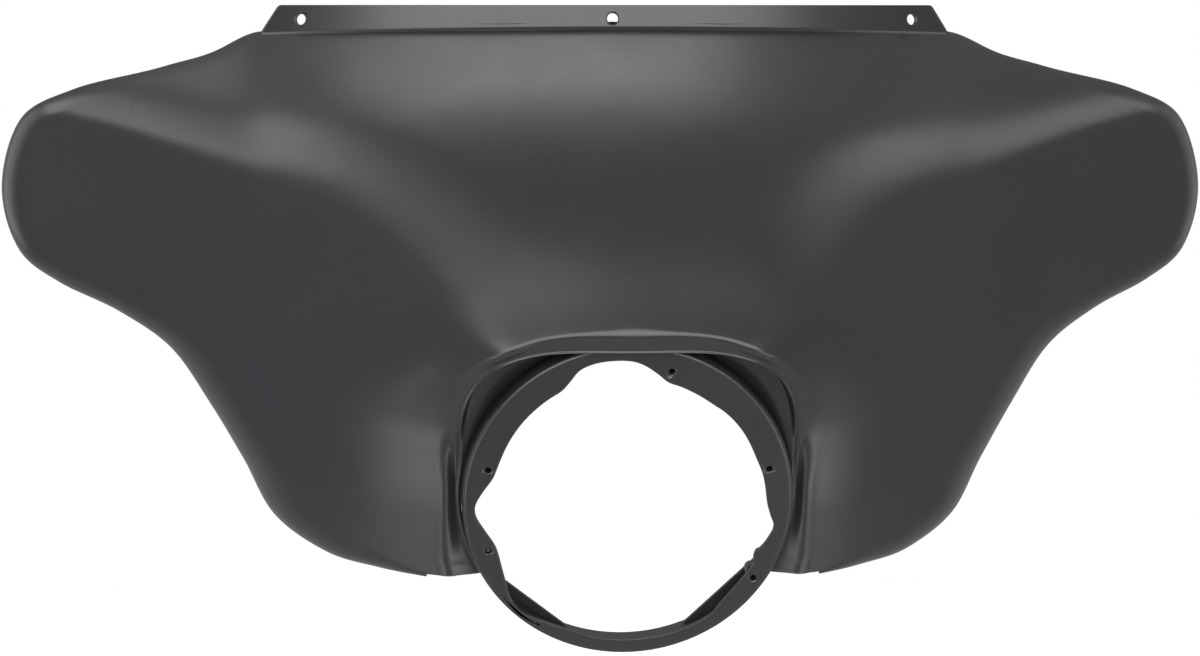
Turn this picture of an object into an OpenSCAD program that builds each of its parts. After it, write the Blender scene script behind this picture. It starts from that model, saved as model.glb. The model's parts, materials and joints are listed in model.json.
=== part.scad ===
// Front fairing of a touring motorcycle: one moulding of satin black plastic.
// It is a hood over the headlight with a wing to each side, a ring and plate that carry
// the headlight, and a flange along the top that carries the windscreen.
// X runs across the motorcycle, Y runs to the rear and Z up. The origin is the centre of
// the headlight opening, on the front face of its plate. Sizes are in millimetres.

/* [Overall] */
// Width from wing tip to wing tip
overall_w = 870; // [850:1:890]
// Thickness of the moulded wall
wall = 3.6; // [3:0.1:4]
// Height of the widest point of each wing above the centre of the headlight
tip_z = 127.5; // [120:0.5:132]

/* [Hood] */
// Height of the hood's nose above the centre of the headlight
nose_z = 129.9; // [128:0.1:133]
// How far the nose stands in front of the headlight plate
nose_out = 4.7; // [3:0.1:7]
// How far the hood's edge curls back under its nose
nose_curl = 3.3; // [2.6:0.1:4]
// Height of the foot of the windscreen flange at the middle
root_z = 260.4; // [255:0.1:264]
// Depth of the foot of the windscreen flange at the middle
root_y = 241; // [236:1:248]
// How softly the hood turns into the wings
ridge_soft = 40; // [30:1:50]

/* [Wings] */
// Depth of the cheek beside the headlight
cheek_y = 12; // [9:0.5:15]
// How far a wing runs back for each millimetre that it runs out
sweep = 0.74; // [0.7:0.01:0.78]
// How fast a wing leans back above the headlight, per square millimetre
lean_back = 0.00145; // [0.0013:0.00005:0.0016]
// Radius with which the lower edge rolls back, at its largest
edge_roll = 30; // [24:1:33]
// Depth of the rim behind that roll
rim_depth = 16; // [10:1:22]

/* [Headlight ring] */
// Outer diameter of the ring
ring_d = 232; // [229:1:233]
// Length of the ring behind the front face of its plate
ring_len = 28; // [26:0.5:34]
// Thickness of the ring's wall
ring_wall = 3.5; // [3:0.1:4.5]
// Thickness of the plate
plate_t = 3.4; // [2.5:0.1:4.5]
// Radius of the plate's opening between its lobes
cut_r = 94; // [92:0.5:95]
// Radius of the opening at its lobes
lobe_r = 105.5; // [104:0.5:107]
// Half width of the squarish pocket around the ring
pocket_w = 117; // [117:0.5:119]
// Height of the squarish pocket
pocket_h = 115; // [114:0.5:116]
// Depth of the pocket's floor
pocket_y = 18; // [14:0.5:20]
// Diameter of the pilot holes for the headlight's trim screws
pilot_d = 4.4; // [3.6:0.1:5]
// Distance across the upper pair of pilot holes
pilot_span = 194; // [192:0.5:196]
// Height of that pair above the centre
pilot_z = 24; // [22:0.5:26]

/* [Windscreen flange] */
// Radius of the flange's curve, seen from above
flange_r = 507; // [495:1:530]
// Angle by which the plane of that curve falls to the rear
flange_fall = 20; // [19:0.5:22]
// Width of the flange at its foot
flange_w = 498; // [490:1:504]
// Height of the flange
flange_h = 16.2; // [15:0.1:18]
// Thickness of the flange
flange_t = 3; // [2.5:0.1:3.6]
// Angle by which the flange leans in towards its top
flange_lean = 4.5; // [2:0.5:7]
// Angle of the flange's slanted ends
flange_end = 33; // [28:1:38]
// How much higher the flange is at its ends than at the middle
flange_rise = 0.8; // [0.2:0.1:2]
// How much lower its foot is at its ends than at the middle
flange_sink = 3.2; // [0.5:0.1:4]
// Diameter of the three windscreen holes
screen_d = 8; // [6.5:0.1:8.5]
// Distance from the foot of the flange to the holes, along its face
screen_up = 6.6; // [6:0.1:8]
// Distance of the outer holes from the ends of the flange's foot
screen_in = 28.6; // [24:0.2:32]

/* [Screw bosses inside the wings] */
// Distance of the upper bosses from the wing tips, across the motorcycle
upper_in = 63; // [60:1:70]
// Height of the upper pair above the centre of the headlight
upper_z = 120; // [112:1:128]
// Depth at which the upper pair ends
upper_y = 255; // [245:1:262]
// Distance of the lower bosses from the wing tips, across the motorcycle
lower_in = 220; // [215:1:235]
// Height of the lower pair, from the centre of the headlight
lower_z = -20; // [-30:1:-10]
// Depth at which the lower pair ends
lower_y = 112; // [100:1:125]
// Outer diameter of these bosses
wing_boss_d = 14; // [12:0.5:16]
// Diameter of the blind holes in them
wing_pilot_d = 5; // [4:0.1:6]

/* [Hidden] */
span = overall_w / 2;
ring_r = ring_d / 2;
lift = [cos(flange_fall), sin(flange_fall)];
black = [0.16, 0.16, 0.165];
// Lines from one station of the outline to the next, and the rows of points along a line:
// on the face, on the rolled edge, and in the pocket as far as the hood's nose
seg = 3;
face_rows = 9;
roll_rows = 4;
fold_rows = 7;
// Slopes of the hood's middle line at the nose and at the flange, as shares of its mean
nose_slope = 0.55;
root_slope = 2.3;
// How steeply the hood carries on past the ends of the flange, as a share of the slope
// there, and the distance over which it levels out to that
flank = 0.5;
flank_fade = 20;
// Half width of the headlight's cheeks, and half width and power of the rounded nose
cheek_x = 128;
nose_w = 130;
nose_power = 3;
// Half width at which a wing starts to curl forwards, and how fast it does
curl_x = 330;
curl = 0.001;
// Height below which a wing no longer leans back
lean_z = -20;
// Rounded upper corners of the flange, and the angle to each side that its curve covers
corner_r = 4;
flange_arc = asin(flange_w / 2 / flange_r) + 1;
// Bosses behind the headlight plate, with the depth of every pilot hole, and the width of
// the ears in the plate that carry them
boss_d = 9;
boss_len = 18;
pilot_deep = 15;
ear_w = 10;
wing_pilot_deep = 20;
// Webs at the foot of the ring
web_y = 22;
web_t = 3;
// What the webs leave open, in the front view
web_window = [
    [-130, -31.6], [-34.4, -108.7], [0, -118], [36.2, -110.4], [120, -25], [120, 130], [-130, 130]
];

// Half the distance across each pair of bosses inside the wings
upper_x = span - upper_in;
lower_x = span - lower_in;

// How far the flange's curve has run back at x. Past the flange's ends it levels out
function sag(x) =
    let (
        i = min(abs(x), flange_w / 2), past = abs(x) - i,
        depth = sqrt(flange_r * flange_r - i * i)
    )
    flange_r - depth + i / depth * past * (flank + (1 - flank) / (1 + past / flank_fade));
// How far the foot of the flange has sunk out of the plane of its curve at x
function sink(x) = flange_sink * pow(2 * x / flange_w, 2);
// How far the foot has fallen and run back at x, and its height there
function foot_drop(x) = sag(x) * lift[1] + sink(x) * lift[0];
function foot_back(x) = sag(x) * lift[0] - sink(x) * lift[1];
function foot_z(x) = root_z - foot_drop(x);

// A smooth rise from 0 to 1 with slopes m0 and m1 at its ends
function ease(t, m0, m1) =
    t * (1 - t) * (1 - t) * m0 + t * t * (3 - 2 * t) + t * t * (t - 1) * m1;
// The same rise, carried on straight past either end
function rise(t, m0, m1) =
    t < 0 ? m0 * t : t > 1 ? 1 + m1 * (t - 1) : ease(t, m0, m1);
// The larger of two depths, with the crease between them rounded over k
function soft_max(a, b, k) =
    let (h = max(k - abs(a - b), 0) / k) max(a, b) + h * h * k / 4;
// Radius of a rounded square of half sizes a and b, at an angle
function squircle(angle, a, b, n) =
    pow(pow(abs(cos(angle)) / a, n) + pow(abs(sin(angle)) / b, n), -1 / n);

// Depth of the hood along the middle of the fairing, at height z
function hood_mid(z) =
    -nose_out
        + (root_y + nose_out) * rise((z - nose_z) / (root_z - nose_z), nose_slope, root_slope);
// Depth of the hood, which falls and runs back to each side with the foot of the flange
function hood_y(x, z) = hood_mid(z + foot_drop(x)) + foot_back(x);
// Depth of a wing
function wing_y(x, z) =
    cheek_y + sweep * (x - cheek_x) - curl * pow(max(0, x - curl_x), 2)
        + lean_back * pow(max(0, z - lean_z), 2);
// Depth of the whole front face
function face_y(x, z) = soft_max(hood_y(x, z), wing_y(x, z), ridge_soft);

// The right-hand outline, clockwise from the top: at each station the angle at which a
// line leaves the headlight, the x and z that it reaches, the radius with which the edge
// rolls back there, and the depth of the rim behind the roll
stations = [
    [90, 0, foot_z(0), 3, 1.5],
    [84, 0.25 * flange_w, foot_z(0.25 * flange_w), 3, 1.5],
    [79, 0.4 * flange_w, foot_z(0.4 * flange_w), 3, 2],
    [75, 0.5 * flange_w, foot_z(0.5 * flange_w), 3.5, 2],
    [71, span - 150.4, 223.2, 4.5, 2],
    [67, span - 115.7, 214.6, 4.5, 2],
    [60, span - 52, 198.2, 6, 2],
    [57, span - 15, 175.4, 12, 4],
    [52, span, tip_z, 18, 6],
    [47, span - 12, tip_z - 41, 22, 10],
    [42, span - 41.3, 68.3, 25, 14],
    [20, span - 84.5, 59, edge_roll, rim_depth],
    [8, span - 120.2, 43.4, edge_roll, rim_depth],
    [-2, span - 146.4, 12.4, edge_roll, rim_depth],
    [-10, span - 169, -21.8, edge_roll, rim_depth],
    [-17, span - 190.6, -58.6, 0.9 * edge_roll, rim_depth],
    [-24, span - 228.7, -76, 0.8 * edge_roll, rim_depth],
    [-28, span - 264.7, -75, 18, 12],
    [-32, span - 297.7, -67.6, 8, 6]
];
last = len(stations) - 1;
// The station beyond the middle is the mirror of the one before it
before = [
    180 - stations[1][0], -stations[1][1], stations[1][2], stations[1][3], stations[1][4]
];
function at(i) = i < 0 ? before : i > last ? 2 * stations[last] - stations[last - 1] : stations[i];
// A smooth curve through the stations
function station(s) =
    let (i = max(0, min(floor(s), last - 1)), t = s - i)
    0.5 * (
        2 * at(i) + (at(i + 1) - at(i - 1)) * t
        + (2 * at(i - 1) - 5 * at(i) + 4 * at(i + 1) - at(i + 2)) * t * t
        + (3 * at(i) - at(i - 1) - 3 * at(i + 1) + at(i + 2)) * t * t * t
    );

// Direction straight out of the outline, in the front view
function outward(s) =
    let (d = station(s + 0.01) - station(s - 0.01))
    [-d[2], d[1]] / norm([d[1], d[2]]);

// Front-view point at which a line leaves the nose or the cheek's ridge
function crest(a) =
    a > 0 ? squircle(a, nose_w, nose_z, nose_power) * [cos(a), sin(a)]
    : [nose_w - 2 * pow(max(0, (-a - 22) / 10), 2), -56 * sin(min(90, -2.7 * a))];

// Front-view point and depth, as a point in space
function point(p, y) = [p[0], y, p[1]];

// The outer surface along one line, from the ring out to the rim
function outer_line(s) =
    let (
        st = station(s), a = st[0], ray = [cos(a), sin(a)],
        k = crest(a), ky = face_y(k[0], k[1]),
        lip = a > 0 ? squircle(a, pocket_w, pocket_h, 4) : pocket_w,
        deep = min(1, max(0, (a - 2) / 20)),
        up = pow(max(ray[1], 0), 2),
        ly = deep * (-4.5 * up + (0.8 * ky + 1) * (1 - up)) + (1 - deep) * (ky + 6),
        fy = deep * pocket_y + (1 - deep) * (ly + 3),
        l = lip * ray, edge = [st[1], st[2]], out = outward(s),
        roll = min(st[3], 0.75 * norm(edge - k)), fold = edge - roll * out
    )
    [
        point((ring_r - 1.5) * ray, fy),
        point(max(lip - 2.5, ring_r - 0.5) * ray, fy - 1),
        point(l, ly + 2),
        for (f = [0.06, 0.3, 0.55, 0.8])
            point(l + (k - l) * f, ly + (ky - ly) * f - nose_curl * sin(180 * f) * deep),
        for (i = [0:face_rows])
            let (q = k + (fold - k) * i / face_rows) point(q, face_y(q[0], q[1])),
        for (i = [1:roll_rows])
            let (t = 90 * i / roll_rows, q = fold + out * roll * sin(t))
            point(q, face_y(q[0], q[1]) + roll * (1 - cos(t))),
        point(edge, face_y(edge[0], edge[1]) + roll + st[4])
    ];

cols = last * seg;
right = [for (i = [0:cols]) outer_line(i / seg)];
rows = len(right[0]);
outer = [
    for (i = [-cols:cols]) [for (p = right[abs(i)]) i < 0 ? [-p[0], p[1], p[2]] : p]
];
wide = len(outer);

function unit(v) = v / norm(v);
// The point under an outer one, a wall's thickness along the surface's normal
function under(i, j) =
    let (
        along = outer[min(i + 1, wide - 1)][j] - outer[max(i - 1, 0)][j],
        across = outer[i][min(j + 1, rows - 1)] - outer[i][max(j - 1, fold_rows)]
    )
    outer[i][j] + wall * unit(cross(across, along));
// Behind the pocket the sheet is folded, so its back runs straight from the ring to the
// corner of the pocket, and from there to the nose
function behind(i, j) =
    let (
        p = outer[i][0], q = outer[i][1], ray = unit([q[0], 0, q[2]]),
        foot = p + [0, wall, 0], corner = q + 0.8 * wall * [0, 1, 0] + (wall + 1) * ray
    )
    j < 3 ? foot + (corner - foot) * j / 2
    : corner + (under(i, fold_rows) - corner) * (j - 2) / (fold_rows - 2);
inner = [
    for (i = [0:wide - 1])
        [for (j = [0:rows - 1]) j < fold_rows ? behind(i, j) : under(i, j)]
];

function flatten(l) = [for (a = l) for (b = a) b];
// Two triangles between four corners, split along one diagonal or the other
function quad(a, b, c, d, turn) = turn ? [[a, b, d], [b, c, d]] : [[a, b, c], [a, c, d]];

module skin() {
    n = wide * rows;
    faces = flatten([
        for (i = [0:wide - 2]) for (j = [0:rows - 2])
            let (a = i * rows + j, b = a + rows, turn = i < cols)
            concat(quad(a, a + 1, b + 1, b, turn), quad(n + a, n + b, n + b + 1, n + a + 1, turn))
    ]);
    rims = flatten([
        for (i = [0:wide - 2])
            let (a = i * rows, b = a + rows, e = rows - 1, turn = i < cols)
            concat(quad(a, b, n + b, n + a, turn), quad(a + e, n + a + e, n + b + e, b + e, turn))
    ]);
    ends = flatten([
        for (j = [0:rows - 2])
            let (z = (wide - 1) * rows + j)
            concat(quad(j, n + j, n + j + 1, j + 1, true), quad(z, z + 1, n + z + 1, n + z, true))
    ]);
    polyhedron(concat(flatten(outer), flatten(inner)), concat(faces, rims, ends));
}

// Everything on the flange is drawn in the plane of its curve, about the curve's centre
module flange_frame() {
    translate([0, root_y + flange_r * lift[0], root_z - flange_r * lift[1]])
    rotate([-flange_fall, 0, 0])
    children();
}

// The flange: a strip of a cone, with slanted ends and rounded upper corners
module flange() {
    half = flange_w / 2;
    high = flange_h + flange_rise;
    low = flange_sink + wall;
    top = half - (high + flange_sink) * tan(flange_end);
    lean = tan(flange_lean);
    turn = 90 - flange_end;
    centre = [top - corner_r * tan(turn / 2), high - corner_r];
    corner = [for (i = [0:4]) centre + corner_r * [sin(turn * i / 4), cos(turn * i / 4)]];
    // Half of the outline, from the middle of the foot round to the middle of the top edge
    foot = [for (i = [0:8]) let (x = half * i / 8) [x, -sink(x) - 0.7 * wall]];
    crown = [
        for (i = [1:8])
            let (t = 1 - i / 8) [centre[0] * t, flange_h + flange_rise * t * t]
    ];
    side = concat(
        foot, [[half, -flange_sink]], [for (i = [4:-1:0]) corner[i]], crown
    );
    flange_frame()
    intersection() {
        rotate([0, 0, -90 - flange_arc])
        rotate_extrude(angle = 2 * flange_arc, $fn = 144)
        polygon([
            [flange_r, -low], [flange_r, 0], [flange_r - 2 * high * lean, 2 * high],
            [flange_r - 2 * high * lean - flange_t, 2 * high], [flange_r - flange_t, 0],
            [flange_r - flange_t, -low]
        ]);
        rotate([90, 0, 0])
        linear_extrude(flange_r + 20)
        polygon(concat(side, [for (i = [len(side) - 2:-1:1]) [-side[i][0], side[i][1]]]));
    }
}

// The three windscreen holes, square to the face of the flange
module screen_holes() {
    reach = flange_r - screen_up * sin(flange_lean);
    pitch = asin((flange_w / 2 - screen_in) / reach);
    flange_frame()
    for (turn = [-pitch, 0, pitch])
        rotate([0, 0, turn])
        translate([0, -reach, screen_up * cos(flange_lean)])
        rotate([90 - flange_lean, 0, 0])
        cylinder(d = screen_d, h = 20, center = true, $fn = 32);
}

// Turns a shape drawn in the front view, and extruded upwards, to run to the rear
module to_rear(y) {
    translate([0, y, 0])
    rotate([-90, 0, 0])
    mirror([0, 1, 0])
    children();
}

// Angle about the ring's centre, and how far the opening reaches there: 0 is cut_r and
// 1 is lobe_r. Lobes clear the headlight's tabs at the top, the sides and the bottom
opening = [
    [0, 0.18], [12, 0.05], [21, -0.07], [34, -0.05], [45, -0.1], [52, -0.2], [62, -0.2],
    [68, -0.18], [74, -0.15], [79, 0.2], [85, 0.66], [90, 0.9], [97, 1], [104, 1.02],
    [110, 0.87], [115, 0.43], [120, 0.12], [127, 0.09], [143, 0.06], [159, 0], [166, 0.03],
    [170, 0.14], [175, 0.5], [180, 0.9], [183, 1.02], [187, 0.94], [193, 0.58], [199, 0.3],
    [204, 0.28], [210, 0.48], [216, 0.78], [222, 1.2], [227, 1.4], [231, 1.41], [240, 1.1],
    [250, 0.92], [260, 0.98], [280, 1], [303, 1], [309, 0.8], [315, 0.63], [323, 0.57],
    [331, 0.6], [334, 0.36], [337, 0.3], [339, 0.5], [344, 0.72], [349, 0.82], [354, 0.45]
];
// A smooth closed curve through the opening's points, in the front view
function opening_point(i, t) =
    let (
        n = len(opening),
        p = [for (k = [-1:2]) opening[(i + k + n) % n] + [360 * floor((i + k) / n), 0]],
        q = 0.5 * (2 * p[1] + (p[2] - p[0]) * t + (2 * p[0] - 5 * p[1] + 4 * p[2] - p[3]) * t * t
            + (3 * p[1] - p[0] - 3 * p[2] + p[3]) * t * t * t),
        r = cut_r + (lobe_r - cut_r) * q[1]
    )
    r * [cos(q[0]), sin(q[0])];

// Pilot holes for the trim screws: the upper pair is level, the others are not
pilots = [
    [pilot_span / 2, pilot_z], [-pilot_span / 2, pilot_z], [27.4, 97], [88.5, -58.6],
    [-95.9, -37]
];

// The ear that carries a pilot hole and reaches to the ring
module ear(p) {
    circle(d = ear_w, $fn = 32);
    rotate(atan2(p[1], p[0]))
    translate([0, -ear_w / 2])
    square([ring_r - ring_wall / 2 - norm(p), ear_w]);
}

// A short tube with the headlight's plate across its front
module ring() {
    to_rear(0)
    difference() {
        cylinder(r = ring_r, h = ring_len, $fn = 96);
        translate([0, 0, -1])
        cylinder(r = ring_r - ring_wall, h = ring_len + 2, $fn = 96);
    }
    to_rear(0)
    linear_extrude(plate_t) {
        difference() {
            circle(r = ring_r, $fn = 96);
            polygon([
                for (i = [0:len(opening) - 1]) for (t = [0, 0.5]) opening_point(i, t)
            ]);
        }
        for (p = pilots) translate(p) ear(p);
    }
}

// Screw bosses behind the plate, and the two webs that brace the foot of the ring
module ring_bosses() {
    for (p = pilots)
        to_rear(plate_t / 2)
        translate(p)
        cylinder(d = boss_d, h = boss_len, $fn = 32);
    to_rear(web_y)
    linear_extrude(web_t)
    difference() {
        circle(r = ring_r - ring_wall / 2, $fn = 96);
        polygon(web_window);
    }
}

// The pilot holes, blind
module pilot_holes() {
    for (p = pilots)
        to_rear(-1)
        translate(p)
        cylinder(d = pilot_d, h = 1 + pilot_deep, $fn = 32);
}

// A screw boss inside a wing: it stands on the middle of the moulded wall and ends at back
module wing_boss(x, z, back) {
    slope_x = (face_y(x + 1, z) - face_y(x - 1, z)) / 2;
    slope_z = (face_y(x, z + 1) - face_y(x, z - 1)) / 2;
    n = unit([-slope_x, 1, -slope_z]);
    reach = back - face_y(x, z) + wing_boss_d;
    intersection() {
        to_rear(back - reach)
        translate([x, z])
        cylinder(d = wing_boss_d, h = reach, $fn = 32);
        translate([x, face_y(x, z), z] + wall / 2 * n)
        rotate([0, acos(n[2]), atan2(n[1], n[0])])
        translate([-reach, -reach, 0])
        cube(2 * reach);
    }
}

module wing_bosses() {
    for (side = [0, 1]) mirror([side, 0, 0]) {
        wing_boss(upper_x, upper_z, upper_y);
        wing_boss(lower_x, lower_z, lower_y);
    }
}

// The blind hole in each boss, from its end
module wing_pilots() {
    for (side = [-1, 1]) for (p = [[upper_x, upper_z, upper_y], [lower_x, lower_z, lower_y]])
        to_rear(p[2] - wing_pilot_deep)
        translate([side * p[0], p[1]])
        cylinder(d = wing_pilot_d, h = wing_pilot_deep + 1, $fn = 32);
}

module fairing_shell() {
    color(black)
    difference() {
        union() {
            skin();
            flange();
            ring();
            ring_bosses();
            wing_bosses();
        }
        screen_holes();
        pilot_holes();
        wing_pilots();
    }
}

fairing_shell();
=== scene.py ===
"""Front fairing of a touring motorcycle, dressed for a studio photograph.

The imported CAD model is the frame. The moulding is shown as finer meshes, built from the solid's
formulas, with rounded edges and a satin black plastic. Beside the nose, on the cheeks and under
the brow they follow the photograph more closely than the solid does. Shape functions work in
millimetres, in the frame's axes: X across, Y to the rear, Z up, from the middle of the headlight
opening.
"""
import json
import math

import bmesh
import bpy
from mathutils import Matrix, Vector


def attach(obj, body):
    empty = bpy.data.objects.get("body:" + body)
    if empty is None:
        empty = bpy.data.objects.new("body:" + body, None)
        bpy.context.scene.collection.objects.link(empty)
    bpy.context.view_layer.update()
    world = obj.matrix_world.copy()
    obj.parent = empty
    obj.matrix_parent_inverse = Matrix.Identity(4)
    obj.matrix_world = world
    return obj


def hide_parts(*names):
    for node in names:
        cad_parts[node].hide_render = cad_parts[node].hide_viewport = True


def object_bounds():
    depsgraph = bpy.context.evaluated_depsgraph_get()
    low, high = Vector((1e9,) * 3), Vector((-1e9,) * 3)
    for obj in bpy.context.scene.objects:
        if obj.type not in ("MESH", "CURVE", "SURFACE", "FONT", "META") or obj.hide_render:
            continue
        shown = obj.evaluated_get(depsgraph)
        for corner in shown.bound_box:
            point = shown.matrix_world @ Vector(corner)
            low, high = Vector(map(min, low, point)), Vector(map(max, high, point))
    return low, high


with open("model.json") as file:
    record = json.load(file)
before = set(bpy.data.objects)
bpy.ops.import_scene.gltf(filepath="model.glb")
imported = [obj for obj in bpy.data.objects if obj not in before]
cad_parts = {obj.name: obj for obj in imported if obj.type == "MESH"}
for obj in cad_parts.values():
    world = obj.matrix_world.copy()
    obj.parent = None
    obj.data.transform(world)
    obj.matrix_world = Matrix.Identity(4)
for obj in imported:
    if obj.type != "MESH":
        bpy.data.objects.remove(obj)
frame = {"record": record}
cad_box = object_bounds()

MM = 0.001
mounts = {m["name"]: m for m in frame["record"]["mounts"]}

# ---------------------------------------------------------------- driving dimensions
SPAN = cad_box[1].x / MM
WALL = 3.6
TIP_Z = 127.5

# The nose's crest, and the hollow of its turn-under: its depth, how near to the lip it is
# deepest, and its share at the cheeks
NOSE_Z, NOSE_OUT, NOSE_HOLLOW = 129.9, 4.5, 2.4
HOLLOW_NEAR, HOLLOW_CHEEK = 0.55, 0.6
ROOT_Z, ROOT_Y, RIDGE_SOFT = 260.4, 241, 40
NOSE_SLOPE, ROOT_SLOPE = 0.55, 2.3
FLANK, FLANK_FADE = 0.5, 20
NOSE_W, NOSE_POWER = 130, 3

CHEEK_X, CHEEK_Y, SWEEP = 128, 12, 0.74
CURL_X, CURL = 330, 0.001
LEAN_Z, LEAN_BACK = -20, 0.00145
# Beside the nose the wing stands forward, so the hood keeps its width down to the nose:
# how far, between which heights, up to which x, and over what width it fades
STEP_OUT, STEP_LOW, STEP_HIGH, STEP_X, STEP_FADE = 20, 30, 200, 125, 140
# Beside the headlight the wing is crowned, from the cheek's ridge outward: its height, its
# width, the width over which it fades, and the heights between which it fades
CROWN, CROWN_W, CROWN_FADE, CROWN_LOW, CROWN_HIGH = 16.5, 85, 200, 60, 130
# The share of the crown by which the wing outside it is set forward
CROWN_SET = 0.7
# The fold between hood and wing is tight beside the nose and soft at the shoulder
FOLD_SOFT, FOLD_LOW, FOLD_HIGH = 10, 140, 205
EDGE_ROLL, RIM_DEPTH = 30, 16

RING_R, RING_LEN, RING_WALL, PLATE_T, RING_SOFT = 116, 28, 3.5, 3.4, 2.6
RING_OVAL = 0.014
CUT_R, LOBE_R = 94, 105.5
POCKET_W, POCKET_H, POCKET_Y = 117, 115, 18

FLANGE_R, FLANGE_FALL, FLANGE_W = 507, 20, 498
FLANGE_H, FLANGE_T, FLANGE_LEAN, FLANGE_END = 16.2, 3, 4.5, 33
FLANGE_RISE, FLANGE_SINK, FLANGE_FILLET = 0.8, 3.2, 3
CORNER_R, FILLET_TURN = 4, 58


# ---------------------------------------------------------------- the surface's formulas
def sin(a):
    return math.sin(math.radians(a))


def cos(a):
    return math.cos(math.radians(a))


def mix(a, b, t):
    return a + (b - a) * t


def smooth(t):
    """A smooth step from 0 to 1."""
    t = min(1, max(0, t))
    return t * t * (3 - 2 * t)


def sag(x):
    """How far the flange's curve has run back. Past the flange's ends it levels out."""
    i = min(abs(x), FLANGE_W / 2)
    past = abs(x) - i
    depth = math.sqrt(FLANGE_R**2 - i * i)
    slope = i / depth * (FLANK + (1 - FLANK) / (1 + past / FLANK_FADE))
    return FLANGE_R - depth + slope * past


def sink(x):
    """How far the foot of the flange has sunk out of the plane of its curve."""
    return FLANGE_SINK * (2 * x / FLANGE_W) ** 2


def foot_drop(x):
    return sag(x) * sin(FLANGE_FALL) + sink(x) * cos(FLANGE_FALL)


def foot_back(x):
    return sag(x) * cos(FLANGE_FALL) - sink(x) * sin(FLANGE_FALL)


def foot_z(x):
    return ROOT_Z - foot_drop(x)


def rise(t, m0, m1):
    if t < 0:
        return m0 * t
    if t > 1:
        return 1 + m1 * (t - 1)
    return t * (1 - t) ** 2 * m0 + t * t * (3 - 2 * t) + t * t * (t - 1) * m1


def through(a, b, c, d, t):
    """A smooth curve through b (t = 0) and c (t = 1), with a before them and d after."""
    return 0.5 * (
        2 * b
        + (c - a) * t
        + (2 * a - 5 * b + 4 * c - d) * t * t
        + (3 * b - a - 3 * c + d) * t**3
    )


def soft_max(a, b, k):
    h = max(k - abs(a - b), 0) / k
    return max(a, b) + h * h * k / 4


def squircle(angle, a, b, n):
    return ((abs(cos(angle)) / a) ** n + (abs(sin(angle)) / b) ** n) ** (-1 / n)


def hood_y(x, z):
    """Depth of the hood, which falls and runs back to each side with the flange's foot."""
    t = (z + foot_drop(x) - NOSE_Z) / (ROOT_Z - NOSE_Z)
    return foot_back(x) - NOSE_OUT + (ROOT_Y + NOSE_OUT) * rise(t, NOSE_SLOPE, ROOT_SLOPE)


def wing_y(x, z):
    """Depth of a wing."""
    back = LEAN_BACK * max(0, z - LEAN_Z) ** 2
    near = 1 - smooth((x - STEP_X) / STEP_FADE)
    height = min(1, max(0, (z - STEP_LOW) / (STEP_HIGH - STEP_LOW)))
    back -= STEP_OUT * near * sin(180 * height) ** 2
    u = max(0, (x - CHEEK_X) / CROWN_W)
    if u < 1:
        crown = (1 - u) ** 2 - CROWN_SET
    else:
        crown = -CROWN_SET * (1 - smooth((u - 1) * CROWN_W / CROWN_FADE))
    back += CROWN * crown * (1 - smooth((z - CROWN_LOW) / (CROWN_HIGH - CROWN_LOW)))
    return CHEEK_Y + SWEEP * (x - CHEEK_X) - CURL * max(0, x - CURL_X) ** 2 + back


def face_y(x, z):
    soft = mix(FOLD_SOFT, RIDGE_SOFT, smooth((z - FOLD_LOW) / (FOLD_HIGH - FOLD_LOW)))
    return soft_max(hood_y(x, z), wing_y(x, z), soft)


# The right-hand outline, clockwise from the top: the angle at which a line leaves the
# headlight, the x and z that it reaches, the radius of the rolled edge and the rim's depth
STATIONS = [
    (90, 0, foot_z(0), 3, 1.5),
    (84, 0.25 * FLANGE_W, foot_z(0.25 * FLANGE_W), 3, 1.5),
    (79, 0.4 * FLANGE_W, foot_z(0.4 * FLANGE_W), 3, 2),
    (75, 0.5 * FLANGE_W, foot_z(0.5 * FLANGE_W), 3.5, 2),
    (71, SPAN - 150.4, 223.2, 4.5, 2),
    (67, SPAN - 115.7, 214.6, 4.5, 2),
    (60, SPAN - 52, 198.2, 6, 2),
    (57, SPAN - 15, 175.4, 12, 4),
    (52, SPAN - 0.2, TIP_Z, 18, 6),
    (47, SPAN - 12, TIP_Z - 41, 22, 10),
    (42, SPAN - 41.3, 68.3, 27, 14),
    (20, SPAN - 84.5, 59, 0.9 * EDGE_ROLL, RIM_DEPTH),
    (8, SPAN - 121, 43.4, EDGE_ROLL, RIM_DEPTH),
    (-2, SPAN - 148, 12.4, EDGE_ROLL, RIM_DEPTH),
    (-10, SPAN - 171.5, -21.8, EDGE_ROLL, RIM_DEPTH),
    (-17, SPAN - 193, -56, 0.9 * EDGE_ROLL, RIM_DEPTH),
    (-24, SPAN - 229, -71.5, 0.8 * EDGE_ROLL, RIM_DEPTH),
    (-28, SPAN - 264.7, -71.5, 18, 12),
    (-32, SPAN - 297.7, -66.5, 3, 4),
]
LAST = len(STATIONS) - 1


def station(s):
    """A smooth curve through the stations."""

    def at(i):
        if i < 0:
            a, x, *rest = STATIONS[1]
            return (180 - a, -x, *rest)
        if i > LAST:
            return tuple(2 * p - q for p, q in zip(STATIONS[LAST], STATIONS[LAST - 1]))
        return STATIONS[i]

    i = max(0, min(int(s), LAST - 1))
    t = s - i
    return [through(*p, t) for p in zip(at(i - 1), at(i), at(i + 1), at(i + 2))]


def outward(s):
    """Direction straight out of the outline, in the front view."""
    before, after = station(s - 0.01), station(s + 0.01)
    return Vector((before[2] - after[2], 0, after[1] - before[1])).normalized()


# The cheek's ridge: how low it runs and how fast, and the angles at which it turns in and
# drops to the wing's foot
RIDGE_LOW, RIDGE_PACE = 56, 2.7
TURN_IN, TURN_FROM, TURN_OVER = 2, 22, 10
FOOT, FOOT_FROM, FOOT_OVER = 7, 28, 4


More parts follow.
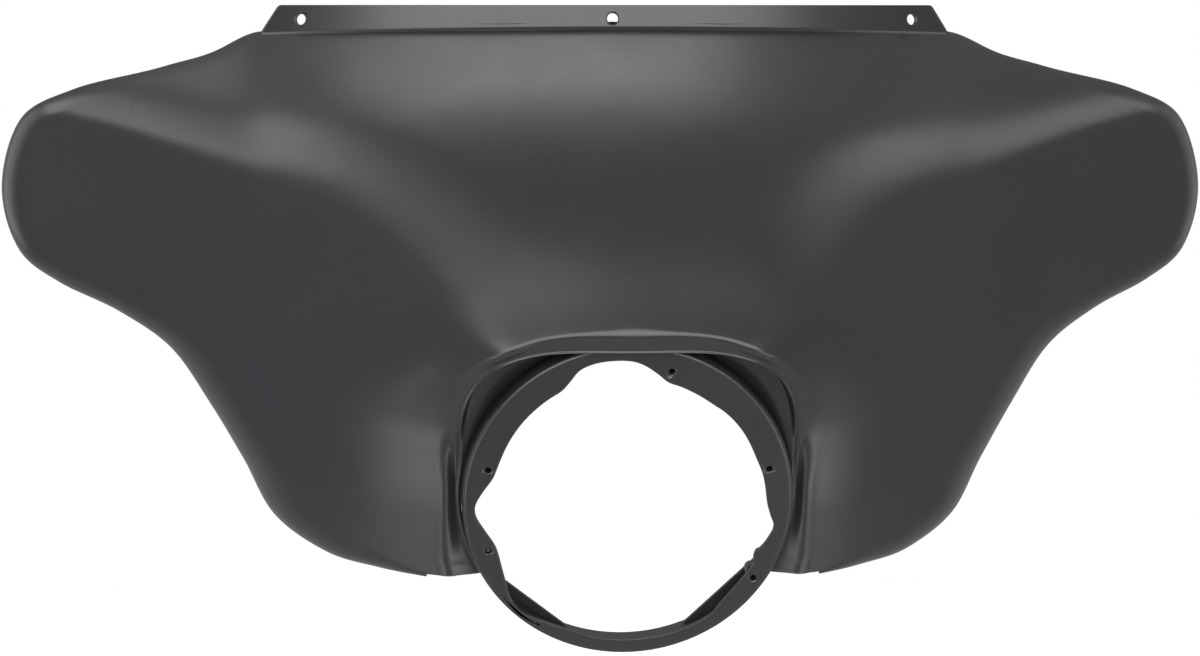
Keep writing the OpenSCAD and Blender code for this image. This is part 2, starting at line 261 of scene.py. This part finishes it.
def crest(a):
    """Front-view point at which a line leaves the nose or the cheek's ridge."""
    if a > 0:
        r = squircle(a, NOSE_W, NOSE_Z, NOSE_POWER)
        return r * cos(a), r * sin(a)
    foot = FOOT * smooth((-a - FOOT_FROM) / FOOT_OVER)
    turned = TURN_IN * max(0, (-a - TURN_FROM) / TURN_OVER) ** 2
    return NOSE_W - turned, -RIDGE_LOW * sin(min(90, -RIDGE_PACE * a)) - foot


def bend(a, corner, b, n):
    """Points that round a corner, without its two ends."""
    return [
        a * (1 - t) ** 2 + corner * 2 * t * (1 - t) + b * t * t
        for t in (i / (n + 1) for i in range(1, n + 1))
    ]


# Rows of points along a line, section by section
FLOOR_ROWS, WALL_ROWS, NOSE_ROWS, FACE_ROWS, ROLL_ROWS, RIM_ROWS = 3, 3, 16, 30, 12, 3
BEND_ROWS = 5
FOLD_ROW = FLOOR_ROWS + WALL_ROWS + NOSE_ROWS + 2 * BEND_ROWS
# How far each corner's rounding reaches
FLOOR_BEND, LIP_BEND, CREST_BEND, CREST_OUT = 1.4, 1.5, 6, 6
# The pocket is deep from this angle up, and runs out over so many degrees below it
POCKET_FROM, POCKET_OVER = 2, 20
# Depth of the lip: at the top, at the nose's sides as a share of the crest's and more, and
# behind the cheek's ridge. The floor is so far behind the lip there
LIP_TOP, LIP_SHARE, LIP_MORE, LIP_BEHIND, FLOOR_BEHIND = -4.5, 0.8, 1, 4.5, 1.2
# The floor reaches into the ring, and the wall under the lip starts behind it
FLOOR_IN, WALL_IN, WALL_OUT, WALL_STEP = 1.5, 2.5, 0.5, 1
# The brow and the lip below it stand this much lower over the ring, as in the photograph
BROW_DROP, LIP_DROP = 4.0, 3.2
# The cheek's ridge stands this share nearer to the ring
CHEEK_IN = 0.036
# The rim's depth and the roundness of its end, as shares, to stay within the solid's box
RIM_SHARE, RIM_ROUND = 0.92, 0.4

def outer_line(s):
    """The outer surface along one line, from the ring out to the rim."""
    a, x, z, roll, rim = station(s)
    ray = Vector((cos(a), 0, sin(a)))
    deep = min(1, max(0, (a - POCKET_FROM) / POCKET_OVER))
    kx, kz = crest(a)
    kz -= BROW_DROP * max(ray.z, 0) ** 3
    kx *= 1 - CHEEK_IN * (1 - deep)
    ky = face_y(kx, kz)
    k = Vector((kx, 0, kz))
    lip = squircle(a, POCKET_W, POCKET_H, 4) if a > 0 else POCKET_W
    lip -= LIP_DROP * max(ray.z, 0) ** 3
    up = max(ray.z, 0) ** 2
    lip_y = deep * (LIP_TOP * up + (LIP_SHARE * ky + LIP_MORE) * (1 - up))
    lip_y += (1 - deep) * (ky + LIP_BEHIND)
    floor_y = deep * POCKET_Y + (1 - deep) * (lip_y + FLOOR_BEHIND)
    end, out = Vector((x, 0, z)), outward(s)
    roll = min(roll, 0.75 * (end - k).length)
    fold = end - roll * out
    d = (fold - k).normalized()
    face = (fold - k).length

    def nose(f):
        p = lip * ray + (k - lip * ray) * f
        hollow = NOSE_HOLLOW * sin(180 * f**HOLLOW_NEAR) * mix(HOLLOW_CHEEK, 1, deep)
        p.y = mix(lip_y, ky, f) + hollow
        return p

    def on_face(u):
        p = k + d * u
        p.y = face_y(p.x, p.z)
        return p

    def on_roll(t):
        p = fold + out * roll * sin(t)
        p.y = face_y(p.x, p.z) + roll * (1 - cos(t))
        return p

    start = (RING_R - FLOOR_IN) * ray + Vector((0, floor_y, 0))
    wall_r = max(lip - WALL_IN, RING_R - WALL_OUT)
    corner = wall_r * ray + Vector((0, floor_y - WALL_STEP, 0))
    lip_point = nose(0)
    # The corner of the floor is rounded by as much as its shorter side allows
    side = (corner - start).length
    rise_ = (lip_point - corner).length
    cut = min(FLOOR_BEND, 0.45 * side, 0.3 * rise_)
    lip_cut = min(LIP_BEND, 0.5 * rise_)
    a0, b0 = mix(corner, start, cut / side), mix(corner, lip_point, cut / rise_)
    a1 = mix(lip_point, corner, lip_cut / rise_)
    nose_len = (nose(1) - nose(0)).length
    lip_f = lip_cut / nose_len
    crest_f = 1 - min(CREST_BEND, 0.45 * nose_len) / nose_len
    crest_cut = min(CREST_OUT, 0.4 * face)
    points = [mix(start, a0, i / (FLOOR_ROWS - 1)) for i in range(FLOOR_ROWS)]
    points += bend(a0, corner, b0, BEND_ROWS)
    points += [mix(b0, a1, i / (WALL_ROWS - 1)) for i in range(WALL_ROWS)]
    points += bend(a1, lip_point, nose(lip_f), BEND_ROWS)
    points += [nose(mix(lip_f, crest_f, i / (NOSE_ROWS - 1))) for i in range(NOSE_ROWS)]
    points += bend(nose(crest_f), nose(1), on_face(crest_cut), 2 * BEND_ROWS)
    points += [on_face(mix(crest_cut, face, i / FACE_ROWS)) for i in range(FACE_ROWS + 1)]
    points += [on_roll(90 * i / ROLL_ROWS) for i in range(1, ROLL_ROWS + 1)]
    edge = points[-1]
    for i in range(1, RIM_ROWS + 1):
        points.append(edge + Vector((0, (rim - WALL / 2) * RIM_SHARE * i / RIM_ROWS, 0)))
    return points


# ---------------------------------------------------------------- meshes
LINES_PER_STATION = 10
FLANGE_COLS, FLANGE_EDGE = 200, 0.7
RING_EDGE = 0.8


def add_mesh(name, points, faces, material, smooth=True):
    """An object from points in millimetres."""
    mesh = bpy.data.meshes.new(name)
    mesh.from_pydata([tuple(p * MM) for p in points], [], faces)
    mesh.validate()
    mesh.polygons.foreach_set("use_smooth", [smooth] * len(mesh.polygons))
    o = bpy.data.objects.new(name, mesh)
    bpy.context.scene.collection.objects.link(o)
    o.data.materials.append(material)
    return o


def grid_faces(wide, rows, first=0, flip=False, wrap=False):
    """Faces between neighbouring lines, each a run of so many points (rows)."""
    faces = []
    for i in range(wide if wrap else wide - 1):
        for j in range(rows - 1):
            a = first + i * rows + j
            b = first + (i + 1) % wide * rows + j
            quad = (a, a + 1, b + 1, b)
            faces.append(quad[::-1] if flip else quad)
    return faces


def moulded_skin(material):
    """The sheet: outer surface, inner surface a wall behind it, and rounded rims."""
    cols = LAST * LINES_PER_STATION
    right = [outer_line(i / LINES_PER_STATION) for i in range(cols + 1)]
    mirrored = [[Vector((-p.x, p.y, p.z)) for p in line] for line in right[:0:-1]]
    outer = mirrored + right
    wide, rows = len(outer), len(outer[0])

    def normal(i, j):
        along = outer[min(i + 1, wide - 1)][j] - outer[max(i - 1, 0)][j]
        across = outer[i][min(j + 1, rows - 1)] - outer[i][max(j - 1, 0)]
        return across.cross(along).normalized()

    def inner_line(i):
        line = outer[i]
        ray = Vector((line[FLOOR_ROWS].x, 0, line[FLOOR_ROWS].z)).normalized()
        foot = line[0] + Vector((0, WALL, 0))
        corner = line[FLOOR_ROWS + 2] + Vector((0, 0.8 * WALL, 0)) + (WALL + 1) * ray
        fold = line[FOLD_ROW] + WALL * normal(i, FOLD_ROW)
        points = []
        for j in range(rows):
            if j <= FLOOR_ROWS:
                points.append(mix(foot, corner, j / FLOOR_ROWS))
            elif j < FOLD_ROW:
                points.append(mix(corner, fold, (j - FLOOR_ROWS) / (FOLD_ROW - FLOOR_ROWS)))
            else:
                points.append(line[j] + WALL * normal(i, j))
        return points

    inner = [inner_line(i) for i in range(wide)]
    # Half-round rims join the two surfaces
    rims = []
    for a, b in zip(outer, inner):
        p, q = a[-1], b[-1]
        middle, half = (p + q) / 2, (p - q) / 2
        tip = Vector((0, RIM_ROUND * half.length, 0))
        rims.append([middle + half * cos(t) + tip * sin(t) for t in (45, 90, 135)])
    points = [p for line in outer for p in line]
    faces = grid_faces(wide, rows)
    n = len(points)
    points += [p for line in inner for p in line]
    faces += grid_faces(wide, rows, n, flip=True)
    m = len(points)
    points += [p for line in rims for p in line]
    for i in range(wide - 1):
        a = [(i + s) * rows + rows - 1 for s in (0, 1)]
        rim = [[m + (i + s) * 3 + r for r in range(3)] for s in (0, 1)]
        chain = [[a[s], *rim[s], n + a[s]] for s in (0, 1)]
        for j in range(4):
            faces.append((chain[0][j], chain[0][j + 1], chain[1][j + 1], chain[1][j]))
        g = [(i + s) * rows for s in (0, 1)]
        faces.append((g[0], g[1], n + g[1], n + g[0]))
    for i in (0, wide - 1):
        for j in range(rows - 1):
            a = i * rows + j
            quad = (a, n + a, n + a + 1, a + 1)
            faces.append(quad if i == 0 else quad[::-1])
    return add_mesh("moulded_skin", points, faces, material)


def flange_matrix():
    """From the plane of the flange's curve, about the curve's centre, to the frame."""
    centre = Vector(
        (0, ROOT_Y + FLANGE_R * cos(FLANGE_FALL), ROOT_Z - FLANGE_R * sin(FLANGE_FALL))
    )
    return Matrix.Translation(centre) @ Matrix.Rotation(math.radians(-FLANGE_FALL), 4, "X")


def flange_edge_x(h):
    """Half width of the flange at height h: a slanted end with a rounded upper corner."""
    slant = math.tan(math.radians(FLANGE_END)) * (1 + (FLANGE_RISE + FLANGE_SINK) / FLANGE_H)
    turn = 90 - math.degrees(math.atan(slant))
    cx = FLANGE_W / 2 - FLANGE_H * slant - CORNER_R * math.tan(math.radians(turn / 2))
    cz = FLANGE_H - CORNER_R
    if h > cz + CORNER_R * cos(turn):
        return cx + math.sqrt(max(0, CORNER_R**2 - (h - cz) ** 2))
    return FLANGE_W / 2 - max(h, 0) * slant


def windscreen_flange(material):
    """The curved strip that carries the windscreen, with three holes square to its face."""
    low, cols, edge = -0.7 * WALL, FLANGE_COLS, FLANGE_EDGE
    lean = math.tan(math.radians(FLANGE_LEAN))
    place = flange_matrix()

    def at(u, h, back):
        x = u * flange_edge_x(h)
        taller = FLANGE_RISE * (2 * x / FLANGE_W) ** 2 + sink(x)
        up = h * (1 + taller / FLANGE_H) - sink(x)
        r = FLANGE_R - max(up, 0) * lean - back
        return place @ Vector((x, -math.sqrt(r * r - x * x), up))

    # One closed loop of points around the section, for each column: a fillet at the foot,
    # the front face, a rounded top edge and the back
    foot = FLANGE_FILLET * math.tan(math.radians(FILLET_TURN / 2))
    fillet = [
        (foot - FLANGE_FILLET * sin(t), -FLANGE_FILLET * (1 - cos(t)))
        for t in (FILLET_TURN * (1 - i / 6) for i in range(7))
    ]
    heights = [4, 6, 9, 12]
    cz = FLANGE_H - CORNER_R
    heights += [cz + CORNER_R * sin(t) for t in range(10, 90, 12)]
    top = heights[-1]
    section = [(low, fillet[0][1] - 0.5)] + fillet + [(h, 0) for h in heights]
    section += [(top + edge * 0.7, edge * 0.3), (FLANGE_H, edge), (FLANGE_H, FLANGE_T - edge)]
    section += [(top + edge * 0.7, FLANGE_T - edge * 0.3)]
    section += [(h, FLANGE_T) for h in reversed([low, 0] + heights)]
    section = [(min(h, FLANGE_H), b) for h, b in section]
    us = [2 * i / cols - 1 for i in range(cols + 1)]
    points = [at(u, h, b) for u in us for h, b in section]
    rows = len(section)
    faces = grid_faces(cols + 1, rows, flip=True)
    for i in range(cols):
        a, b = i * rows, (i + 1) * rows
        faces.append((a, b, b + rows - 1, a + rows - 1)[::-1])
    faces.append(tuple(range(rows)))
    faces.append(tuple(cols * rows + j for j in reversed(range(rows))))
    o = add_mesh("windscreen_flange", points, faces, material)
    for name in ("left", "middle", "right"):
        m = mounts["windscreen_hole_" + name]
        drill(o, Vector(m["pos_m"]), Vector(m["axis"]), m["dims"]["r_mm"] * MM, 0.02)
    return o


def drill(o, place, axis, radius, length):
    """A round hole, cut by a boolean that is applied to the mesh."""
    bm = bmesh.new()
    bmesh.ops.create_cone(
        bm, cap_ends=True, segments=48, radius1=radius, radius2=radius, depth=length
    )
    turn = axis.to_track_quat("Z", "Y").to_matrix().to_4x4()
    bm.transform(Matrix.Translation(place) @ turn)
    mesh = bpy.data.meshes.new("drill")
    bm.to_mesh(mesh)
    bm.free()
    tool = bpy.data.objects.new("drill", mesh)
    bpy.context.scene.collection.objects.link(tool)
    cut = o.modifiers.new("hole", "BOOLEAN")
    cut.operation, cut.solver, cut.object = "DIFFERENCE", "EXACT", tool
    bake(o)
    bpy.data.objects.remove(tool)
    bpy.data.meshes.remove(mesh)


def bake(o):
    """Applies all modifiers of an object to its mesh."""
    graph = bpy.context.evaluated_depsgraph_get()
    graph.update()
    mesh = bpy.data.meshes.new_from_object(o.evaluated_get(graph))
    o.modifiers.clear()
    old = o.data
    o.data = mesh
    bpy.data.meshes.remove(old)


# Angle about the ring's centre, and how far the opening reaches there: 0 is CUT_R and
# 1 is LOBE_R. Lobes clear the headlight's tabs at the top, the sides and the bottom
OPENING = [
    (0, 0.18), (12, 0.05), (21, -0.07), (34, -0.05), (45, -0.1), (52, -0.2), (62, -0.2),
    (68, -0.18), (74, -0.15), (79, 0.2), (85, 0.66), (90, 0.9), (97, 1), (104, 1.02),
    (110, 0.87), (115, 0.43), (120, 0.12), (127, 0.09), (143, 0.06), (159, 0), (166, 0.03),
    (170, 0.14), (175, 0.5), (180, 0.9), (183, 1.02), (187, 0.94), (193, 0.58), (199, 0.3),
    (204, 0.28), (210, 0.48), (216, 0.78), (222, 1.2), (227, 1.4), (231, 1.41), (240, 1.1),
    (250, 0.92), (260, 0.98), (280, 1), (303, 1), (309, 0.8), (315, 0.63), (323, 0.57),
    (331, 0.6), (334, 0.36), (337, 0.3), (339, 0.5), (344, 0.72), (349, 0.82), (354, 0.45),
]


def opening_ring(steps):
    """Angle and radius of the opening, smoothly through its points."""
    n = len(OPENING)
    ring = []
    for i in range(n):
        p = []
        for k in (-1, 0, 1, 2):
            a, q = OPENING[(i + k) % n]
            p.append((a + 360 * ((i + k) // n), q))
        for t in (j / steps for j in range(steps)):
            a, q = (through(*four, t) for four in zip(*p))
            ring.append((a, CUT_R + (LOBE_R - CUT_R) * q))
    return ring


trim_screws = mounts["headlight_trim_screws"]["dims"]
PILOT_SPAN, PILOT_Z = trim_screws["spacing_x_mm"], 24
PILOTS = [
    (PILOT_SPAN / 2, PILOT_Z), (-PILOT_SPAN / 2, PILOT_Z), (27.4, 97), (88.5, -58.6),
    (-95.9, -37),
]
PILOT_R = trim_screws["hole_r_mm"]
BOSS_D = 9
# How long each boss behind the plate is; the last would show in the opening if it were longer
BOSS_LEN = (18, 18, 18, 18, 5)
PILOT_FLOOR = 3
WING_BOSS_D, WING_PILOT_DEEP = 14, 20
WEB_Y, WEB_T = 22, 3
WEBS = [
    ("web_left", (-130, -31.6), (-34.4, -108.7)),
    ("web_right", (36.2, -110.4), (120, -25)),
]


def headlight_ring(material):
    """A short tube with the headlight's plate across its front, in one closed section."""
    edge = RING_EDGE
    points, ring = [], opening_ring(6)
    for a, r in ring:
        outer = RING_R * (1 - RING_OVAL * cos(a) ** 2)
        section = [
            (r + 0.5, 0), (r + 0.15, 0.15), (r, 0.5), (r, PLATE_T - 0.4), (r + 0.4, PLATE_T),
            (outer - RING_WALL - 1.5, PLATE_T), (outer - RING_WALL, PLATE_T + 1.5),
            (outer - RING_WALL, RING_LEN - edge), (outer - RING_WALL + edge, RING_LEN),
            (outer - edge, RING_LEN), (outer, RING_LEN - edge), (outer, RING_SOFT + 3),
            *[
                (outer - RING_SOFT * (1 - cos(t)), RING_SOFT * (1 - sin(t)))
                for t in (0, 15, 30, 45, 60, 75, 90)
            ],
            (outer - RING_SOFT - 1.5, 0), (mix(r, outer, 0.5), 0), (r + 1.2, 0),
        ]
        points += [Vector((q * cos(a), y, q * sin(a))) for q, y in section]
    rows = len(section)
    faces = grid_faces(len(ring), rows, wrap=True)
    for i in range(len(ring)):
        a, b = i * rows, (i + 1) % len(ring) * rows
        faces.append((a + rows - 1, a, b, b + rows - 1))
    o = add_mesh("headlight_ring", points, faces, material)
    for x, z in PILOTS:
        drill(o, Vector((x, 0, z)) * MM, Vector((0, 1, 0)), PILOT_R * MM, 0.02)
    return o


def tube(name, x, z, sections, material, steps=40):
    """Rings of points about an axis along Y. Each is (radius, depth), or a depth function."""
    points = []
    for i in range(steps):
        a = 360 * i / steps
        for r, y in sections:
            px, pz = x + r * cos(a), z + r * sin(a)
            points.append(Vector((px, y(px, pz) if callable(y) else y, pz)))
    rows = len(sections)
    faces = grid_faces(steps, rows, wrap=True)
    faces.append(tuple(i * rows + rows - 1 for i in range(steps)))
    return add_mesh(name, points, faces, material)


def screw_bosses(material):
    """Bosses behind the headlight plate, each with the blind end of its pilot hole."""
    r, edge = BOSS_D / 2, 0.5
    made = []
    for i, (x, z) in enumerate(PILOTS):
        ends = PLATE_T / 2 + BOSS_LEN[i]
        sections = [
            (PILOT_R, PLATE_T - 0.5), (r, PLATE_T - 0.5), (r, ends - edge), (r - edge, ends),
            (0.01, ends),
        ]
        made.append(tube(f"plate_boss_{i + 1}", x, z, sections, material))
        deep = ends - PILOT_FLOOR
        floor = [(PILOT_R, PLATE_T - 1), (PILOT_R, deep), (0.01, deep)]
        made.append(tube(f"plate_pilot_{i + 1}", x, z, floor, material))
    return made


def inside_wall(x, z):
    """Depth of the middle of the wing's wall."""
    return face_y(abs(x), z) + WALL / 2


def wing_bosses(material):
    """Bosses inside the wings, which stand on the wall and have a blind hole from the end."""
    made = []
    for pair in ("upper", "lower"):
        m = mounts[pair + "_wing_screws"]
        end, z = m["pos_m"][1] / MM, m["pos_m"][2] / MM
        half, hole = m["dims"]["spacing_x_mm"] / 2, m["dims"]["hole_r_mm"]
        r, edge = WING_BOSS_D / 2, 0.8
        for side, sign in (("left", -1), ("right", 1)):
            deep = end - WING_PILOT_DEEP
            sections = [
                (r, inside_wall), (r, end - edge), (r - edge, end), (hole + 0.4, end),
                (hole, end - 0.4), (hole, deep), (0.01, deep),
            ]
            name = f"{pair}_boss_{side}"
            made.append(tube(name, sign * half, z, sections, material))
    return made


def ring_webs(material):
    """Two webs that brace the foot of the ring, each cut off along a straight chord."""
    r, made = RING_R - RING_WALL / 2, []
    for name, p, q in WEBS:
        along = (Vector(q) - Vector(p)).normalized()
        near = Vector(p) - along * Vector(p).dot(along)
        half = math.sqrt(r * r - near.length_squared)
        middle = math.degrees(math.atan2(near.y, near.x))
        wide = math.degrees(math.acos(near.length / r))
        steps = 24
        outline = [
            (r * cos(a), r * sin(a))
            for a in (middle + wide * (2 * i / steps - 1) for i in range(steps + 1))
        ]
        n = len(outline)
        points = [Vector((x, y, z)) for y in (WEB_Y, WEB_Y + WEB_T) for x, z in outline]
        faces = [tuple(range(n)), tuple(reversed(range(n, 2 * n)))]
        faces += [(i, (i + 1) % n, n + (i + 1) % n, n + i) for i in range(n)]
        made.append(add_mesh(name, points, faces, material, smooth=False))
    return made


# ---------------------------------------------------------------- materials
WARM_BLACK, COOL_BLACK = (0.0165, 0.0158, 0.0148), (0.0150, 0.0158, 0.0178)
TINT_SCALE = 7.0
# Roughness varies between these two
GLOSS, GLOSS_SCALE = (0.26, 0.31), 14.0
# A speck fades out between these distances from a cell's middle, where a noise is this high
DUST, DUST_CELLS, SPECK, DUSTY = (0.20, 0.20, 0.20), 60, (0.012, 0.02), (0.62, 0.66)
# Slow unevenness and fine grain: scale, depth in metres and strength
WAVE, GRAIN = (16.0, 0.0006, 0.35), (1500.0, 0.00015, 0.12)
FLOOR_PAINT, FLOOR_ROUGH, FLOOR_GLOW = (0.45, 0.45, 0.45), 0.8, (0.66, 0.66, 0.66)


def moulded_plastic():
    """Satin black moulded plastic, slightly uneven, with a fine grain and specks of dust."""
    m = bpy.data.materials.new("moulded_plastic")
    m.use_nodes = True
    nodes, links = m.node_tree.nodes, m.node_tree.links
    shader = nodes["Principled BSDF"]
    place = nodes.new("ShaderNodeTexCoord").outputs["Object"]

    def noise(scale, detail=3.0):
        n = nodes.new("ShaderNodeTexNoise")
        n.inputs["Scale"].default_value = scale
        n.inputs["Detail"].default_value = detail
        links.new(place, n.inputs["Vector"])
        return n.outputs["Fac"]

    def ramp(value, low, high, a, b):
        r = nodes.new("ShaderNodeValToRGB")
        r.color_ramp.elements[0].position, r.color_ramp.elements[1].position = low, high
        r.color_ramp.elements[0].color, r.color_ramp.elements[1].color = (*a, 1), (*b, 1)
        links.new(value, r.inputs["Fac"])
        return r.outputs["Color"]

    def bump(height, distance, strength, before=None):
        n = nodes.new("ShaderNodeBump")
        n.inputs["Strength"].default_value = strength
        n.inputs["Distance"].default_value = distance
        links.new(height, n.inputs["Height"])
        if before:
            links.new(before, n.inputs["Normal"])
        return n.outputs["Normal"]

    # Black, a little warmer in some places and cooler in others
    tint = ramp(noise(TINT_SCALE, 2), 0.35, 0.65, WARM_BLACK, COOL_BLACK)
    # Dust: a pale speck in the middle of a few cells
    cells = nodes.new("ShaderNodeTexVoronoi")
    cells.inputs["Scale"].default_value = DUST_CELLS
    links.new(place, cells.inputs["Vector"])
    speck = ramp(cells.outputs["Distance"], *SPECK, (1, 1, 1), (0, 0, 0))
    few = ramp(noise(DUST_CELLS * 0.6, 0), *DUSTY, (0, 0, 0), (1, 1, 1))
    chosen = nodes.new("ShaderNodeMath")
    chosen.operation = "MULTIPLY"
    links.new(speck, chosen.inputs[0])
    links.new(few, chosen.inputs[1])
    colour = nodes.new("ShaderNodeMix")
    colour.data_type = "RGBA"
    links.new(chosen.outputs[0], colour.inputs["Factor"])
    links.new(tint, colour.inputs["A"])
    colour.inputs["B"].default_value = (*DUST, 1)
    links.new(colour.outputs["Result"], shader.inputs["Base Color"])
    low, high = ((g, g, g) for g in GLOSS)
    links.new(ramp(noise(GLOSS_SCALE, 4), 0.3, 0.7, low, high), shader.inputs["Roughness"])
    wave = bump(noise(WAVE[0], 1), *WAVE[1:])
    links.new(bump(noise(GRAIN[0], 2), *GRAIN[1:], wave), shader.inputs["Normal"])
    return m


def backdrop():
    """A plain pale floor, which keeps the part's shadow."""
    m = bpy.data.materials.new("backdrop")
    m.use_nodes = True
    nodes, links = m.node_tree.nodes, m.node_tree.links
    paint = nodes["Principled BSDF"]
    paint.inputs["Base Color"].default_value = (*FLOOR_PAINT, 1)
    paint.inputs["Roughness"].default_value = FLOOR_ROUGH
    # Camera rays see it brighter, so that it meets the white background where it is lit
    path = nodes.new("ShaderNodeLightPath")
    glow = nodes.new("ShaderNodeEmission")
    glow.inputs["Color"].default_value = (*FLOOR_GLOW, 1)
    total = nodes.new("ShaderNodeAddShader")
    mixer = nodes.new("ShaderNodeMixShader")
    links.new(paint.outputs[0], total.inputs[0])
    links.new(glow.outputs[0], total.inputs[1])
    links.new(path.outputs["Is Camera Ray"], mixer.inputs[0])
    links.new(paint.outputs[0], mixer.inputs[1])
    links.new(total.outputs[0], mixer.inputs[2])
    links.new(mixer.outputs[0], nodes["Material Output"].inputs["Surface"])
    return m


# ---------------------------------------------------------------- camera and light
CAMERA_DISTANCE, CAMERA_UP, CAMERA_SIDE, CAMERA_ROLL = 3966, 22.5, 4.25, -0.22
PIXELS_WIDE, MM_PER_PIXEL = 1200, 0.689
SENSOR = 36
# The ring's centre from the picture's middle, to the right and up, in the photograph's pixels
RING_FROM_CENTRE = (28.2, -173.5)

# In metres
FLOOR_Z, FLOOR_SIZE = -1.0, 4
TARGET = Vector((0, 0.14, 0.1))
AMBIENT = (0.40, 0.40, 0.41)
# The studio is dim low in front, where the photographer stands
DIM, DIM_AT, DIM_FROM, DIM_TO = (0.18, 0.18, 0.18), (0, -0.92, -0.38), 0.80, 0.96
# Name, angle to the right and over the top, distance, width, height and brightness
SOFT_BOXES = [
    ("front", -3, 30, 4.6, 7.2, 3.8, 4.2),
    ("upper", -22, 65, 4.0, 3.0, 1.6, 1.1),
    ("left_high", -41, 111, 3.0, 1.6, 1.0, 3.1),
    ("right_high", 42, 108, 3.0, 1.2, 0.9, 2.3),
    ("behind", -2, 128, 3.0, 1.6, 0.6, 3.7),
    ("low_left", -34, -20, 3.2, 1.9, 1.3, 2.7),
    ("low_right", 34, -20, 3.2, 1.9, 1.3, 2.9),
    ("rim_left", -66, 172, 3.0, 1.6, 3.0, 1.2),
    ("rim_right", 66, 172, 3.0, 1.6, 3.0, 0.5),
]


def camera():
    """The photograph's view, fitted to the ring, the flange's holes and the wing tips."""
    up, side = math.radians(CAMERA_UP), math.radians(CAMERA_SIDE)
    level = Vector((0, math.cos(up), -math.sin(up)))
    forward = level * math.cos(side) + Vector((1, 0, 0)) * math.sin(side)
    right = Vector((1, 0, 0)) * math.cos(side) - level * math.sin(side)
    above = Vector((0, math.sin(up), math.cos(up)))
    tilt = Matrix.Rotation(math.radians(-CAMERA_ROLL), 3, forward)
    right, above = tilt @ right, tilt @ above
    x, y = (v * MM_PER_PIXEL for v in RING_FROM_CENTRE)
    place = -(forward * CAMERA_DISTANCE + right * x + above * y)
    data = bpy.data.cameras.new("camera")
    data.sensor_width = SENSOR
    data.lens = SENSOR * CAMERA_DISTANCE / MM_PER_PIXEL / PIXELS_WIDE
    data.clip_end = 50
    o = bpy.data.objects.new("camera", data)
    turn = Matrix((right, above, -forward)).transposed()
    o.matrix_world = Matrix.Translation(place * MM) @ turn.to_4x4()
    bpy.context.scene.collection.objects.link(o)
    bpy.context.scene.camera = o
    return o


def soft_box(name, side, over, distance, width, height, brightness):
    """A soft box that faces the fairing.

    side is how far it stands to the right, and over its height: 0 in front, 90 above and
    180 behind. brightness is its surface's, where 1 is a white card in full light.
    """
    data = bpy.data.lights.new(name, "AREA")
    data.shape, data.size, data.size_y = "RECTANGLE", width, height
    data.energy = brightness * math.pi * width * height
    o = bpy.data.objects.new(name, data)
    back = Vector((sin(side), -cos(side) * cos(over), cos(side) * sin(over)))
    o.location = TARGET + back * distance
    o.rotation_mode = "QUATERNION"
    o.rotation_quaternion = (-back).to_track_quat("-Z", "Y")
    bpy.context.scene.collection.objects.link(o)
    return o


def floor():
    """A plain pale floor below the part, which hangs clear of it."""
    half = FLOOR_SIZE / 2
    mesh = bpy.data.meshes.new("floor")
    corners = [(-half, -half), (half, -half), (half, half), (-half, half)]
    mesh.from_pydata([(x, y, FLOOR_Z) for x, y in corners], [], [(0, 1, 2, 3)])
    o = bpy.data.objects.new("floor", mesh)
    mesh.materials.append(backdrop())
    bpy.context.scene.collection.objects.link(o)
    return o


def studio():
    """The world's light, white to the camera, and the soft boxes."""
    world = bpy.data.worlds.new("studio")
    bpy.context.scene.world = world
    world.use_nodes = True
    nodes, links = world.node_tree.nodes, world.node_tree.links
    path = nodes.new("ShaderNodeLightPath")
    mixer = nodes.new("ShaderNodeMix")
    mixer.data_type = "RGBA"
    place = nodes.new("ShaderNodeTexCoord").outputs["Generated"]
    nearness = nodes.new("ShaderNodeVectorMath")
    nearness.operation = "DOT_PRODUCT"
    nearness.inputs[1].default_value = DIM_AT
    links.new(place, nearness.inputs[0])
    dim = nodes.new("ShaderNodeValToRGB")
    dim.color_ramp.elements[0].position, dim.color_ramp.elements[1].position = DIM_FROM, DIM_TO
    dim.color_ramp.elements[0].color = (*AMBIENT, 1)
    dim.color_ramp.elements[1].color = (*DIM, 1)
    links.new(nearness.outputs["Value"], dim.inputs["Fac"])
    links.new(dim.outputs["Color"], mixer.inputs["A"])
    mixer.inputs["B"].default_value = (1, 1, 1, 1)
    links.new(path.outputs["Is Camera Ray"], mixer.inputs["Factor"])
    links.new(mixer.outputs["Result"], nodes["Background"].inputs["Color"])
    for box in SOFT_BOXES:
        soft_box(*box)


# ---------------------------------------------------------------- the scene
bpy.context.scene.view_settings.view_transform = "Standard"
black = moulded_plastic()
pieces = [moulded_skin(black), windscreen_flange(black), headlight_ring(black)]
pieces += screw_bosses(black) + wing_bosses(black) + ring_webs(black)
for piece in pieces:
    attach(piece, "root")
    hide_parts("fairing_shell")
camera()
floor()
studio()
